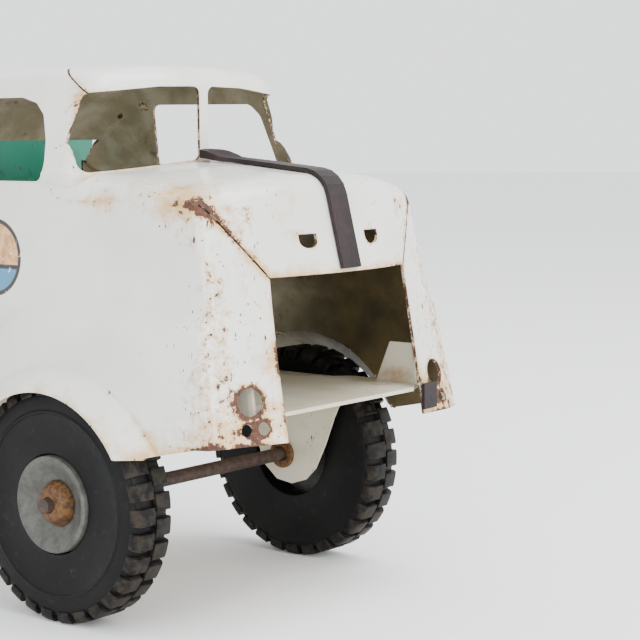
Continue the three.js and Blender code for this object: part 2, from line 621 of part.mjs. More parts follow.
const truck = new THREE.Group();
truck.name = "toy_dump_truck";
const group = (x, z) => {
  const g = new THREE.Group();
  g.position.set(x, 0, z);
  truck.add(g);
  return g;
};
const add = (to, name, made, look) => to.add(piece(name, made, ...look));

const cab = group(0, 0);
add(cab, "cab_shell", cabShell(), WHITE);
add(cab, "hood_strap", hoodStrap(), BROWN);
add(cab, "bumper_tab", bumperTab(), BROWN);
add(cab, "cab_cross_strap", cabStrap(), WHITE);

const chassis = group(0, 0);
add(chassis, "chassis_frame", chassisFrame(), WHITE);
add(chassis, "front_axle_saddle", axleSaddle(0, DECK_Z - PLATE - GAP, 1), WHITE);
add(chassis, "rear_axle_saddle", axleSaddle(REAR_AXLE_X, RAIL_BOTTOM_Z - GAP, 0.8), WHITE);
add(chassis, "hinge_bracket", rodBracket(HINGE.x, [HINGE.x + 8, HINGE.x + 26], BRACKET_Y), WHITE);
add(chassis, "crank_bracket", rodBracket(CRANK_X, [CRANK_X - 8, CRANK_X + 8], BRACKET_Y), WHITE);
add(chassis, "hinge_pin", bar([HINGE.x, -44, HINGE.z], [HINGE.x, 44, HINGE.z], ROD_R), RUST);

for (const [end, x] of [["front", 0], ["rear", REAR_AXLE_X]]) {
  const wheels = group(x, WHEEL_R);
  add(wheels, `${end}_axle`, axle(), RUST);
  for (const [hand, side] of [["left", 1], ["right", -1]]) {
    add(wheels, `tyre_${end}_${hand}`, tyre(side), BLACK);
    add(wheels, `hub_${end}_${hand}`, hub(side), ZINC);
    add(wheels, `axle_cap_${end}_${hand}`, axleCap(side), RUST);
  }
}

const lift = group(0, 0);
add(lift, "lift_crank", liftCrank(), RUST);
add(lift, "lift_roller", liftRoller(), ZINC);
add(lift, "lever_knob", leverKnob(), BLACK);

const bed = group(0, 0);
add(bed, "dump_bed", dumpBed(), GREEN);
for (const [hand, side] of [["left", 1], ["right", -1]]) {
  add(bed, `bed_sill_${hand}`, bedSill(side), GREEN);
  add(bed, `gate_ear_${hand}`, gateEar(side), GREEN);
}
const PIN_END = 59.6;
const pin = bar([GATE_PIN.x, -PIN_END, GATE_PIN.z], [GATE_PIN.x, PIN_END, GATE_PIN.z], GATE_PIN.r, 14);
add(bed, "gate_pin", pin, RUST);
add(bed, "tailgate", tailgate(), GREEN);

truck.updateMatrixWorld(true);
const extent = new THREE.Box3().setFromObject(truck);
truck.position.set(-(extent.min.x + extent.max.x) / 2, -(extent.min.y + extent.max.y) / 2, -extent.min.z);

export default truck;
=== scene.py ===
"""Looks for the pressed-steel toy dump truck. Shapes are worked out in millimetres in the
truck's own frame: x forward from the front axle, y to the left, z up from the ground."""

import math

import bmesh
import bpy
import numpy as np
from mathutils import Matrix, Vector, noise
from mathutils.bvhtree import BVHTree
from mathutils.kdtree import KDTree


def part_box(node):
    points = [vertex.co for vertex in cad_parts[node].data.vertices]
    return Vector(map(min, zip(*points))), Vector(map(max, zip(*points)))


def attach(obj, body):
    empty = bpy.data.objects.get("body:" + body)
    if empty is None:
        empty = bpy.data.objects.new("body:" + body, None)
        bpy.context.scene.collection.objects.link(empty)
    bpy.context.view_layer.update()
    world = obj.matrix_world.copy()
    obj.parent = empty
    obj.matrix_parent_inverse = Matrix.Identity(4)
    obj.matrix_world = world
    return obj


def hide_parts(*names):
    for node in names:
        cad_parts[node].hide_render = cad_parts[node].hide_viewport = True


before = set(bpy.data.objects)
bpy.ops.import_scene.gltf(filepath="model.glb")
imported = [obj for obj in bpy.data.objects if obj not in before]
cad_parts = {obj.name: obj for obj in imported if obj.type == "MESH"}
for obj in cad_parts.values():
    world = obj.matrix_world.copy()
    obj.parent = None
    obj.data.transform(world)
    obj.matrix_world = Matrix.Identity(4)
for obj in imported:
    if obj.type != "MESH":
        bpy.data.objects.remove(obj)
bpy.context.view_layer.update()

# ---- The truck's frame ---------------------------------------------------------------
axle_low, axle_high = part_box("front_axle")
rear_low, rear_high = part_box("rear_axle")
ORIGIN = Vector(((axle_low[0] + axle_high[0]) / 2, 0.0, (axle_low[2] + axle_high[2]) / 2 - 0.0381))
REAR_X = ((rear_low[0] + rear_high[0]) / 2 - ORIGIN.x) * 1000
MM = 0.001

WHEEL_R = 38.1
TREAD_R = 36.3
TYRE_IN, TYRE_OUT = 50.5, 66.5
HUB_R = 15.6
LUGS = 30
SHEET = 1.0
CAB_REAR = -104.0
CAB_FOOT = 56
OPENING_HALF = 34.0
FLAP_X, FLAP_Z, FLAP_LEAN, FLAP_BOW = 67.0, 110.0, 0.25, 0.0035
CORNER_X, CORNER_LEAN = 62.95, 0.166
SWEEP_Z = [61, 110, 122, 134]
SWEEP = {1: [0.02, 0.34, 0.375, 0.408], -1: [0.46, 0.34, 0.375, 0.408]}
SCREEN_BOW_Z, SCREEN_BOW = [143, 169], [2.1 / 45**2, 6.5 / 45**2]
ARCH = (-2.0, 35.0, 38.0)
LIP_Y = 69.6


def at(x, y, z):
    """A point given in the truck's frame, as metres in the row frame."""
    return Vector((x * MM, y * MM, z * MM)) + ORIGIN


# ---- Mesh helpers --------------------------------------------------------------------
def mesh_of(name, points, faces):
    mesh = bpy.data.meshes.new(name)
    mesh.from_pydata([at(*p) for p in points], [], faces)
    mesh.validate()
    mesh.update()
    return mesh


def shown(name, mesh, body, material, smooth=35, replaces=()):
    """Links a mesh as a piece that rides on a body."""
    obj = bpy.data.objects.new(name, mesh)
    bpy.context.scene.collection.objects.link(obj)
    kinds = [p.material_index for p in mesh.polygons]
    mesh.materials.clear()
    for m in material if isinstance(material, (list, tuple)) else [material]:
        mesh.materials.append(m)
    mesh.polygons.foreach_set("material_index", kinds)
    shade(mesh, smooth)
    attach(obj, body)
    if replaces:
        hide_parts(*replaces)
    return obj


def shade(mesh, degrees):
    """Smooth shading, split where faces meet at more than so many degrees."""
    mesh.polygons.foreach_set("use_smooth", [True] * len(mesh.polygons))
    bm = bmesh.new()
    bm.from_mesh(mesh)
    limit = math.radians(degrees)
    for edge in bm.edges:
        edge.smooth = len(edge.link_faces) == 2 and edge.calc_face_angle(0) < limit
    bm.to_mesh(mesh)
    bm.free()


def bevel(obj, width, segments=2, degrees=35):
    mod = obj.modifiers.new("edge", "BEVEL")
    mod.width = width * MM
    mod.segments = segments
    mod.limit_method = "ANGLE"
    mod.angle_limit = math.radians(degrees)
    mod.harden_normals = False


def loft(rings):
    """Closed skin through rings of equal length; each end is closed by a fan."""
    rings = np.asarray(rings, float)
    m, n, _ = rings.shape
    points = rings.reshape(-1, 3).tolist()
    points += [rings[0].mean(0).tolist(), rings[-1].mean(0).tolist()]
    faces = []
    for i in range(m - 1):
        for j in range(n):
            k = (j + 1) % n
            faces.append((i * n + j, i * n + k, (i + 1) * n + k, (i + 1) * n + j))
    low, last = m * n, (m - 1) * n
    for j in range(n):
        k = (j + 1) % n
        faces.append((low, k, j))
        faces.append((low + 1, last + j, last + k))
    return points, faces


def closed(name, points, faces):
    """A closed mesh with its faces turned outward."""
    mesh = mesh_of(name, points, faces)
    bm = bmesh.new()
    bm.from_mesh(mesh)
    bmesh.ops.remove_doubles(bm, verts=bm.verts, dist=1e-7)
    bmesh.ops.recalc_face_normals(bm, faces=bm.faces)
    if bm.calc_volume(signed=True) < 0:
        bmesh.ops.reverse_faces(bm, faces=bm.faces)
    bm.to_mesh(mesh)
    bm.free()
    return mesh


def combine(base, tool, operation):
    """Boolean of two closed meshes, applied."""
    objects = []
    for mesh in (base, tool):
        obj = bpy.data.objects.new("boolean", mesh)
        bpy.context.scene.collection.objects.link(obj)
        objects.append(obj)
    mod = objects[0].modifiers.new("cut", "BOOLEAN")
    mod.operation = operation
    mod.object = objects[1]
    mod.solver = "MANIFOLD"
    graph = bpy.context.evaluated_depsgraph_get()
    result = bpy.data.meshes.new_from_object(objects[0].evaluated_get(graph))
    for obj in objects:
        bpy.data.objects.remove(obj)
    return result


def turned(profile, segments, centre=(0.0, 0.0, 0.0), side=1):
    """A ring of revolution about Y from a closed loop of (radius, y)."""
    rings = []
    for i in range(segments):
        t = 2 * math.pi * i / segments
        c, s = math.cos(t), math.sin(t)
        rings.append([(centre[0] + r * c, side * y, centre[2] + r * s) for r, y in profile])
    n = len(profile)
    points = [p for ring in rings for p in ring]
    faces = []
    for i in range(segments):
        for j in range(n):
            a, b = i * n + j, i * n + (j + 1) % n
            c, d = ((i + 1) % segments) * n + (j + 1) % n, ((i + 1) % segments) * n + j
            faces.append((a, b, c, d))
    return points, faces


def fillet(a, corner, b, radius, steps):
    """Points of an arc that rounds a corner of a 2D outline."""
    a, corner, b = (Vector(p) for p in (a, corner, b))
    back, on = (a - corner).normalized(), (b - corner).normalized()
    half = math.acos(max(-1.0, min(1.0, back.dot(on)))) / 2
    centre = corner + (back + on).normalized() * (radius / math.sin(half))
    start = corner + back * (radius / math.tan(half)) - centre
    end = corner + on * (radius / math.tan(half)) - centre
    sweep = math.atan2(start.x * end.y - start.y * end.x, start.dot(end))
    out = []
    for k in range(steps + 1):
        t = sweep * k / steps
        c, s = math.cos(t), math.sin(t)
        out.append((centre.x + start.x * c - start.y * s, centre.y + start.x * s + start.y * c))
    return out


def rounded(points, radius, steps=5):
    n = len(points)
    out = []
    for i in range(n):
        out += fillet(points[i - 1], points[i], points[(i + 1) % n], radius, steps)
    return out


def prism(outline, axis, low, high):
    """An outline stretched along an axis: (y, z) along x, (x, z) along y."""
    put = {"x": lambda p, s: (s, p[0], p[1]), "y": lambda p, s: (p[0], s, p[1])}[axis]
    n = len(outline)
    points = [put(p, low) for p in outline] + [put(p, high) for p in outline]
    faces = [tuple(range(n)), tuple(range(2 * n - 1, n - 1, -1))]
    faces += [(i, (i + 1) % n, n + (i + 1) % n, n + i) for i in range(n)]
    return closed("prism", points, faces)


def rod(start, end, radius, segments=40):
    a, b = Vector(start), Vector(end)
    way = (b - a).normalized()
    side = way.orthogonal().normalized()
    other = way.cross(side)
    rings = []
    for end_point in (a, b):
        ring = []
        for k in range(segments):
            t = 2 * math.pi * k / segments
            ring.append(tuple(end_point + side * (radius * math.cos(t)) + other * (radius * math.sin(t))))
        rings.append(ring)
    return closed("rod", *loft(rings))


def smooth(v, low, high):
    t = np.clip((v - low) / (high - low), 0, 1)
    return t * t * (3 - 2 * t)


# ---- The cab's surfaces; t is the depth under the outer skin ----------------------------
SIDE_Z = [40, 100, 126, 133, 139, 150]
SIDE_W = [58.3, 58.3, 57.4, 56.4, 55.0, 54.5]


def body_side(x, z, t):
    plain = sum(np.interp(z + d, SIDE_Z, SIDE_W) for d in (-2, 0, 2)) / 3
    taper = 3.4 * smooth(x, 10, 60) * (0.8 + 0.2 * smooth(z, 60, 110))
    top = 100 - 0.02 * max(0.0, -12 - x) ** 2
    step = 4.2 * (1 - smooth(z, top - 6.5, top + 0.5)) * (1 - 0.35 * smooth(x, 30, 60))
    return float(plain + step - taper - t)


def corner_panel(y, z, t):
    sweep = float(np.interp(z, SWEEP_Z, SWEEP[-1 if y < 0 else 1]))
    return CORNER_X - sweep * (abs(y) - OPENING_HALF) - CORNER_LEAN * (z - FLAP_Z) - t * 1.09


def flap_x(y, z, t):
    return FLAP_X - FLAP_BOW * y * y - FLAP_LEAN * (z - FLAP_Z) - t * 1.03


def mirrored(half):
    """A plan ring from its left half, whose last point is on the middle plane."""
    return half + [(x, -y, z) for x, y, z in reversed(half[:-1])]


def body_ring(z, t):
    ring = []
    for side in (1, -1):
        xs = np.concatenate([[CAB_REAR + t], np.arange(-96, 44, 4)])
        half = [(float(x), side * body_side(x, z, t), z) for x in xs]
        x = 50.0
        for _ in range(40):
            x = corner_panel(side * body_side(x, z, t), z, t)
        y = body_side(x, z, t)
        r = 3.6 - t
        before = (x - 12, body_side(x - 12, z, t))
        after = (corner_panel(side * (y - 12), z, t), y - 12)
        half += [(px, side * py, z) for px, py in fillet(before, (x, y), after, r, 7)]
        for py in np.linspace(y - r - 1.0, OPENING_HALF, 9):
            half.append((corner_panel(side * float(py), z, t), side * float(py), z))
        if side > 0:
            half.append((CORNER_X + 14 - CORNER_LEAN * (z - FLAP_Z) - t, 0.0, z))
        else:
            half.reverse()
        ring += half
    return ring


def hood_ring(y, t):
    rim = abs(y)

    def shoulder(r, start):
        return r - math.sqrt(max(r * r - (rim - start) ** 2, 0)) if rim > start else 0.0

    rear = 1.5 * (rim / 46) ** 2 + shoulder(10, 46)
    front = 6.2 * (rim / 52) ** 2.2 + shoulder(9, 50)

    dip = 0.8 + 1.9 * math.sin(math.pi / 2 * min(rim / 46, 1))

    def top(x):
        line = 145.3 - 4.3 * min(max((x - 6) / 44, 0), 1.3)
        gutter = dip * float(smooth(x, -12, -2) * (1 - smooth(x, 4, 30)))
        return line - gutter - float(rear + (front - rear) * smooth(x, 2, 42)) - t

    ring = [(CAB_REAR + t, y, 40.0), (CAB_REAR + t, y, top(CAB_REAR))]
    for x in [-60, -20] + list(np.linspace(-12, 41, 24)):
        ring.append((float(x), y, top(x)))
    slope = (top(44) - top(41)) / 3
    cross = (flap_x(y, FLAP_Z, t) + FLAP_LEAN * (FLAP_Z - top(41) + slope * 41)) / (1 + FLAP_LEAN * slope)
    corner = (cross, top(41) + slope * (cross - 41))
    low = (flap_x(y, 96, t), 96)
    ring += [(x, y, z) for x, z in fillet((41, top(41)), corner, low, 9 - t, 9)]
    for z in np.linspace(ring[-1][2] - 2, 96, 12):
        ring.append((flap_x(y, float(z), t), y, float(z)))
    ring.append((flap_x(y, 50, t), y, 50.0))
    ring.append((flap_x(y, 50, t), y, 40.0))
    return ring


def body_solid(t):
    levels = [40.0, 50.0] + list(np.arange(56, 142, 2.0)) + [150.0]
    halves = list(np.arange(3, 44, 3.4)) + [44.5, 46.5, 48.5, 50.5, 52.2, 53.6, 54.8, 55.6, 66]
    stations = [-y for y in reversed(halves)] + [0.0] + halves
    plan = closed("plan", *loft([body_ring(z, t) for z in levels]))
    view = closed("view", *loft([hood_ring(y, t) for y in stations]))
    return combine(plan, view, "INTERSECT")


def house_ring(z, t):
    w = float(np.interp(z, [130, 141, 182], [52, 55.6, 38.4])) - t
    bow = float(np.interp(z, SCREEN_BOW_Z, SCREEN_BOW))
    r = 9.0 - t

    def front(y):
        return 6.0 - bow * y * y - t

    half = []
    for k in range(7):
        a = k / 6 * math.pi / 2
        half.append((CAB_REAR + t + r - r * math.cos(a), w - r + r * math.sin(a), z))
    for x in np.linspace(CAB_REAR + t + r + 2, -14, 20):
        half.append((float(x), w, z))
    for k in range(9):
        a = k / 8 * math.pi / 2
        half.append((front(w - r) - r + r * math.sin(a) * 0.97, w - r + r * math.cos(a), z))
    half += [(front(y), y, z) for y in np.linspace(w - r - 0.5, 0, 12)]
    return mirrored([(float(x), float(y), float(v)) for x, y, v in half])


def roof_ring(y, t):
    rim = abs(y)
    edge = 8.5 - math.sqrt(max(8.5**2 - (rim - 37) ** 2, 0)) if rim > 37 else 0.0
    drop = 2 * (rim / 40) ** 2 + edge
    front = 6.0 - SCREEN_BOW[1] * y * y - t
    ring = [(10.0, y, 130.0), (10.0, y, 166 - drop - t)]
    brow = [(0, 168.5), (0.25, 170.2), (0.8, 171.6), (1.7, 173.0), (2.9, 174.2), (4.4, 175.1), (6.2, 175.7),
            (10, 176)]
    for b, h in brow:
        ring.append((front - b, y, h - drop - t))
    line = [(-20, 176.6), (-45, 176.2), (-66, 174), (-80, 170), (-90, 164.4)]
    fold = [(-97.5, 156.6), (-101.5, 150), (-103.6, 143)]
    track = [(x + t * 0.2, z - drop - t) for x, z in line]
    track += [(x + t * 0.8, z - drop * 0.6 - t * 0.6) for x, z in fold]
    xs = np.array([front - 10] + [p[0] for p in track])
    zs = np.array([176 - drop - t] + [p[1] for p in track])
    s = np.concatenate([[0], np.cumsum(np.hypot(np.diff(xs), np.diff(zs)))])
    for u in np.linspace(0, s[-1], 40)[1:]:
        blur = [np.interp(np.clip(u + d, 0, s[-1]), s, zs) for d in (-4, -2, 0, 2, 4)]
        ring.append((float(np.interp(u, s, xs)), y, float(np.mean(blur))))
    ring.append((CAB_REAR + t, y, 130.0))
    return ring


def house_solid(t):
    halves = list(np.arange(3, 36, 4)) + [37, 38.5, 40, 41.4, 42.6, 43.6, 44.5, 45.1, 45.45, 60]
    stations = [-y for y in reversed(halves)] + [0.0] + halves
    levels = [130, 134, 138, 141] + list(np.arange(144, 182, 3.0)) + [182]
    plan = closed("plan", *loft([house_ring(z, t) for z in levels]))
    view = closed("view", *loft([roof_ring(y, t) for y in stations]))
    return combine(plan, view, "INTERSECT")


def flare_solid(t):
    """Both wheel arch flares: cones that grow out of the fenders with a rolled outer edge."""
    cone = [(47.5, 50), (47.5, 60.0), (47.1, 61.4), (46.2, 62.8), (44.4, 64.9), (42.6, 66.8), (40.9, 68.4),
            (39.6, LIP_Y)]
    profile = [(20, 50)] + [(r - t, y) for r, y in cone] + [(20, LIP_Y)]
    foot = CAB_FOOT - (4 if t else 0)
    keep = prism([(-60, foot), (60, foot), (60, 100), (-60, 100)], "y", -80, 80)
    halves = []
    for side in (-1, 1):
        ring = closed("flare", *turned(profile, 120, (ARCH[0], 0, ARCH[1]), side))
        halves.append(combine(ring, keep, "INTERSECT"))
    return halves


def cab_shell():
    """The pressed cab: an outer and an inner solid, cut by its windows, arches and holes."""
    inner = combine(body_solid(SHEET), house_solid(SHEET), "UNION")
    for half in flare_solid(SHEET):
        inner = combine(inner, half, "UNION")
    body = body_solid(0)
    trim = prism([(-200, CAB_FOOT), (120, CAB_FOOT), (120, 200), (-200, 200)], "y", -90, 90)
    shell = combine(combine(body, trim, "INTERSECT"), house_solid(0), "UNION")
    for half in flare_solid(0):
        shell = combine(shell, half, "UNION")
    skin = BVHTree.FromPolygons([v.co for v in shell.vertices], [tuple(p.vertices) for p in shell.polygons])
    shell = combine(shell, inner, "DIFFERENCE")
    mouth = [(34, 110), (34.5, 100), (34.9, 85), (35, 30)]
    tools = [
        prism([(-y, z) for y, z in mouth] + mouth[::-1], "x", 44, 100),
        prism([(38, 40), (38, 56.5), (54, 59.9), (64, 60.5), (90, 61.3), (90, 40)], "y", -80, 80),
        rod((ARCH[0], -90, ARCH[1]), (ARCH[0], 90, ARCH[1]), ARCH[2], 120),
        prism([(-120, 30), (-92, 30), (-92, 151), (-120, 151)], "y", -49, 49),
    ]
    doors = {1: [(-68.5, 138.5), (-7.4, 138.5), (-8, 146), (-9.5, 159.5), (-13, 163.6), (-61, 164)],
             -1: [(-66, 138.5), (-12.4, 138.5), (-13.3, 145), (-15.3, 151.5), (-19.6, 159.4), (-24.5, 163.4),
                  (-32, 165.3), (-60, 165.3)]}
    for side in (-1, 1):
        tools.append(prism(rounded(doors[side], 4, 6), "y", side * 20, side * 80))
        line = [(33.15, 109.4), (33.65, 109.0), (52.25, 132.1), (51.75, 132.5)]
        tools.append(prism([(side * y, z) for y, z in line], "x", 40, 90))
        pane = [(2, 144.7), (24, 143), (40, 141.9), (53, 141.2), (51.5, 151), (47.4, 160), (44.6, 166.4),
                (20, 168.6), (2.1, 168.9)]
        tools.append(prism(rounded([(side * y, z) for y, z in pane], 2.5, 4), "x", -6, 8))
        seam = [(-2.8, 166.3), (-16.8, 174.5), (-17.1, 174.1), (-3.1, 165.9)]
        tools.append(prism(seam, "y", side * 38, side * 60))
        turns = [k / 12 * math.pi for k in range(13)]
        arc = [(side * 16 - 3.9 * math.cos(a), 120.4 - 2.4 * math.sin(a)) for a in turns]
        tools.append(prism([(side * 16 - 3.9, 122.4)] + arc + [(side * 16 + 3.9, 122.4)], "x", 50, 80))
        for y, z, r in [(44.9, 73.6, 4.3), (46.8, 65.3, 1.9), (41.6, 65.5, 2.0)]:
            x = corner_panel(side * y, z, 0)
            tools.append(rod((x - 6, side * (y - 2.45), z - 1), (x + 6, side * (y + 2.45), z + 1), r))
    for tool in tools:
        shell = combine(shell, tool, "DIFFERENCE")
    return shell, skin


# ---- Material helpers ------------------------------------------------------------------
class Look:
    """A node material built step by step; "place" is the piece's own coordinates in mm."""

    def __init__(self, name):
        self.material = bpy.data.materials.new(name)
        self.material.use_nodes = True
        self.tree = self.material.node_tree
        self.shader = self.tree.nodes["Principled BSDF"]
        coords = self.node("ShaderNodeTexCoord")
        scaled = self.node("ShaderNodeVectorMath", operation="SCALE")
        self.link(coords.outputs["Object"], scaled.inputs[0])
        scaled.inputs["Scale"].default_value = 1000.0
        self.place = scaled.outputs[0]

    def node(self, kind, **settings):
        made = self.tree.nodes.new(kind)
        for key, value in settings.items():
            setattr(made, key, value)
        return made

    def link(self, a, b):
        self.tree.links.new(a, b)

    def put(self, value, socket):
        if hasattr(value, "is_linked") or hasattr(value, "links"):
            self.link(value, socket)
        else:
            socket.default_value = value

    def noise(self, size, detail=4.0, rough=0.55, stretch=None, distortion=0.0):
        """Noise with features about so many mm across, around 0.5."""
        made = self.node("ShaderNodeTexNoise")
        made.inputs["Scale"].default_value = 1.0 / size
        made.inputs["Detail"].default_value = detail
        made.inputs["Roughness"].default_value = rough
        made.inputs["Distortion"].default_value = distortion
        place = self.place
        if stretch:
            mapping = self.node("ShaderNodeMapping")
            mapping.inputs["Scale"].default_value = stretch
            self.link(place, mapping.inputs["Vector"])
            place = mapping.outputs[0]
        self.link(place, made.inputs["Vector"])
        return made.outputs["Fac"]

    def math(self, operation, a, b=0.0, c=0.0, clamp=False):
        made = self.node("ShaderNodeMath", operation=operation, use_clamp=clamp)
        for value, socket in zip((a, b, c), made.inputs):
            self.put(value, socket)
        return made.outputs[0]

    def step(self, value, low, high):
        """Smooth 0 to 1 as value goes from low to high."""
        made = self.node("ShaderNodeMapRange", interpolation_type="SMOOTHSTEP")
        self.put(value, made.inputs["Value"])
        made.inputs["From Min"].default_value = low
        made.inputs["From Max"].default_value = high
        return made.outputs["Result"]

    def mix(self, factor, a, b):
        made = self.node("ShaderNodeMix", data_type="RGBA")
        self.put(factor, made.inputs["Factor"])
        self.put(a, made.inputs[6])
        self.put(b, made.inputs[7])
        return made.outputs[2]

    def attribute(self, name):
        return self.node("ShaderNodeAttribute", attribute_name=name).outputs["Fac"]

    def times(self, a, b):
        return self.math("MULTIPLY", a, b)

    def plus(self, a, b):
        return self.math("ADD", a, b)

    def axis(self, index):
        split = self.node("ShaderNodeSeparateXYZ")
        self.link(self.place, split.inputs[0])
        return split.outputs[index]

    def set(self, socket, value):
        self.put(value, self.shader.inputs[socket])

    def bump(self, height, strength, distance):
        made = self.node("ShaderNodeBump")
        made.inputs["Strength"].default_value = strength
        made.inputs["Distance"].default_value = distance * MM
        self.put(height, made.inputs["Height"])
        self.link(made.outputs[0], self.shader.inputs["Normal"])


def rgb(r, g, b):
    """sRGB 0..255 as a linear RGBA colour."""
    def linear(v):
        v /= 255
        return v / 12.92 if v <= 0.04045 else ((v + 0.055) / 1.055) ** 2.4
    return (linear(r), linear(g), linear(b), 1.0)


def enamel(name, light, shade_colour, under, rust_light, masked, gloss=0.3):
    """Worn gloss enamel: clouded paint, ochre stains, small specks and chips down to rust.
    With masks, the piece's "wear" and "stain" attributes say where."""
    look = Look(name)
    cloud = look.noise(38, 3)
    fine = look.noise(1.1, 5, 0.7)
    medium = look.noise(5.5, 5, 0.65)
    wear = look.attribute("wear") if masked else look.times(look.step(look.noise(26, 3), 0.36, 0.70), 0.50)
    stain = look.attribute("stain") if masked else look.times(look.step(look.noise(33, 3), 0.38, 0.70), 0.65)
    paint = look.mix(look.step(cloud, 0.35, 0.7), light, shade_colour)
    ochre = look.step(look.math("ADD", stain, look.math("SUBTRACT", medium, 0.5)), 0.35, 0.95)
    paint = look.mix(look.math("MULTIPLY", ochre, 0.85), paint, under)
    blotch = look.plus(wear, look.times(look.math("SUBTRACT", look.noise(2.6, 6, 0.72), 0.5), 1.5))
    halo = look.step(blotch, 0.40, 0.66)
    paint = look.mix(look.math("MULTIPLY", halo, 0.65), paint, under)
    chip = look.step(blotch, 0.66, 0.72)
    flecks = look.node("ShaderNodeTexVoronoi")
    flecks.inputs["Scale"].default_value = 1 / 3.4
    look.link(look.place, flecks.inputs["Vector"])
    speckled = look.step(look.plus(wear, look.times(medium, 0.8)), 0.56, 0.72)
    dots = look.times(look.step(flecks.outputs["Distance"], 0.12, 0.06), speckled)
    scraped = look.step(look.plus(wear, look.times(medium, 0.6)), 0.50, 0.62)
    scratch = look.times(look.step(look.noise(1.5, 3, 0.6, (1, 1, 0.35)), 0.665, 0.70), scraped)
    chip = look.math("MAXIMUM", chip, look.math("MAXIMUM", dots, scratch))
    rust = look.mix(look.step(fine, 0.4, 0.62), rust_light, rgb(46, 26, 20))
    if masked:
        paint = emblem(look, paint)
    look.set("Base Color", look.mix(chip, paint, rust))
    shine = look.math("MULTIPLY_ADD", look.noise(7, 4), 0.18, gloss - 0.08)
    look.set("Roughness", look.math("ADD", look.math("MULTIPLY", chip, 0.5), shine))
    height = look.math("SUBTRACT", look.math("MULTIPLY", fine, 0.10), look.math("MULTIPLY", chip, 1.0))
    dent = look.math("MULTIPLY", look.noise(30, 2), 1.6)
    look.bump(look.math("ADD", height, dent), 0.35, 0.22)
    return look.material


def emblem(look, paint):
    """A plain round printed badge on each door: a tan disc over a blue field in a dark ring."""
    across = look.math("SUBTRACT", look.axis(0), ORIGIN.x * 1000 - 33.5)
    above = look.math("SUBTRACT", look.axis(2), 114.0)
    reach = look.math("SQRT", look.plus(look.times(across, across), look.times(above, above)))
    on_side = look.step(look.math("ABSOLUTE", look.axis(1)), 50, 50.5)
    tan = look.mix(look.step(look.noise(3, 4), 0.4, 0.62), rgb(208, 164, 116), rgb(176, 128, 86))
    print_ = look.mix(look.step(above, -3.2, -2.6), rgb(70, 128, 160), tan)
    band = look.times(look.step(above, -3.8, -3.4), look.step(above, -2.0, -2.4))
    print_ = look.mix(band, print_, rgb(46, 40, 44))
    print_ = look.mix(look.step(reach, 11.0, 11.3), print_, rgb(52, 44, 44))
    worn = look.step(look.noise(2.2, 6, 0.7), 0.68, 0.60)
    inside = look.math("MULTIPLY", look.math("MULTIPLY", look.step(reach, 12.7, 12.4), on_side), worn)
    return look.mix(inside, paint, print_)


def inside_paint():
    """The unpainted side of the cab's sheet: overspray, grime and rust. It is darker and browner to the front, as
    painted shade inside the closed nose.
    """
    look = Look("cab_inside")
    # Mask for the painted shade: it runs from just behind the windscreen forward into the nose.
    forward = look.step(look.axis(0), ORIGIN.x * 1000 - 25, ORIGIN.x * 1000 + 20)
    blotch = look.noise(14, 5, 0.6)
    # Dark brown inside the nose: painted shade for the enclosed nose cavity, where little light reaches.
    shaded_nose = look.mix(look.step(blotch, 0.3, 0.7), rgb(58, 48, 27), rgb(90, 76, 44))
    room = look.mix(look.step(blotch, 0.35, 0.7), rgb(140, 130, 104), rgb(176, 168, 146))
    colour = look.mix(forward, room, shaded_nose)
    rust = look.step(look.noise(9, 6, 0.7), 0.58, 0.72)
    look.set("Base Color", look.mix(look.math("MULTIPLY", rust, 0.7), colour, rgb(78, 48, 26)))
    look.set("Roughness", look.math("MULTIPLY_ADD", look.noise(3, 4), 0.3, 0.5))
    look.bump(look.noise(1.6, 5, 0.7), 0.3, 0.12)
    return look.material


def cut_edge():
    """The bare rim of the sheet: old paint, worn through to rust."""
    look = Look("cut_edge")
    mask = look.step(look.noise(3.0, 6, 0.75), 0.42, 0.52)
    rust = look.mix(look.step(look.noise(0.8, 4), 0.4, 0.6), rgb(92, 54, 28), rgb(50, 30, 24))
    look.set("Base Color", look.mix(mask, rgb(196, 180, 148), rust))
    look.set("Roughness", 0.7)
    look.bump(look.noise(0.9, 4), 0.4, 0.15)
    return look.material


def rubber():
    look = Look("black_rubber")
    broad = look.noise(17, 4)
    fine = look.noise(0.7, 5, 0.7)
    dust = look.step(look.plus(look.noise(3.2, 6, 0.7), look.times(look.attribute("tread"), 0.16)), 0.56, 0.80)
    colour = look.mix(look.step(broad, 0.3, 0.7), rgb(9, 9, 10), rgb(17, 16, 17))
    look.set("Base Color", look.mix(look.math("MULTIPLY", dust, 0.4), colour, rgb(74, 66, 56)))
    look.set("Specular IOR Level", 0.14)
    even = look.math("MULTIPLY_ADD", look.noise(2.2, 5), 0.22, 0.36)
    look.set("Roughness", look.plus(even, look.times(dust, 0.25)))
    look.bump(look.math("ADD", look.math("MULTIPLY", fine, 0.5), look.noise(6, 3)), 0.25, 0.15)
    return look.material


def zinc():
    look = Look("zinc")
    mottled = look.noise(3.4, 6, 0.68)
    colour = look.mix(look.step(mottled, 0.30, 0.72), rgb(58, 57, 53), rgb(84, 84, 79))
    spots = look.step(look.noise(1.3, 6, 0.75), 0.60, 0.72)
    look.set("Base Color", look.mix(look.math("MULTIPLY", spots, 0.6), colour, rgb(58, 54, 48)))
    look.set("Metallic", 0.2)
    look.set("Roughness", look.math("MULTIPLY_ADD", look.noise(1.5, 5), 0.35, 0.36))
    look.bump(look.noise(0.9, 6, 0.7), 0.45, 0.12)
    return look.material


def rusty(name, light, dark, size=2.2):
    look = Look(name)
    colour = look.mix(look.step(look.noise(size, 6, 0.7), 0.36, 0.64), dark, light)
    pits = look.step(look.noise(size * 0.45, 6, 0.75), 0.56, 0.68)
    look.set("Base Color", look.mix(pits, colour, rgb(44, 28, 22)))
    look.set("Metallic", 0.25)
    look.set("Roughness", look.math("MULTIPLY_ADD", look.noise(1.2, 5), 0.35, 0.48))
    look.bump(look.noise(size * 0.4, 6, 0.75), 0.6, 0.2)
    return look.material


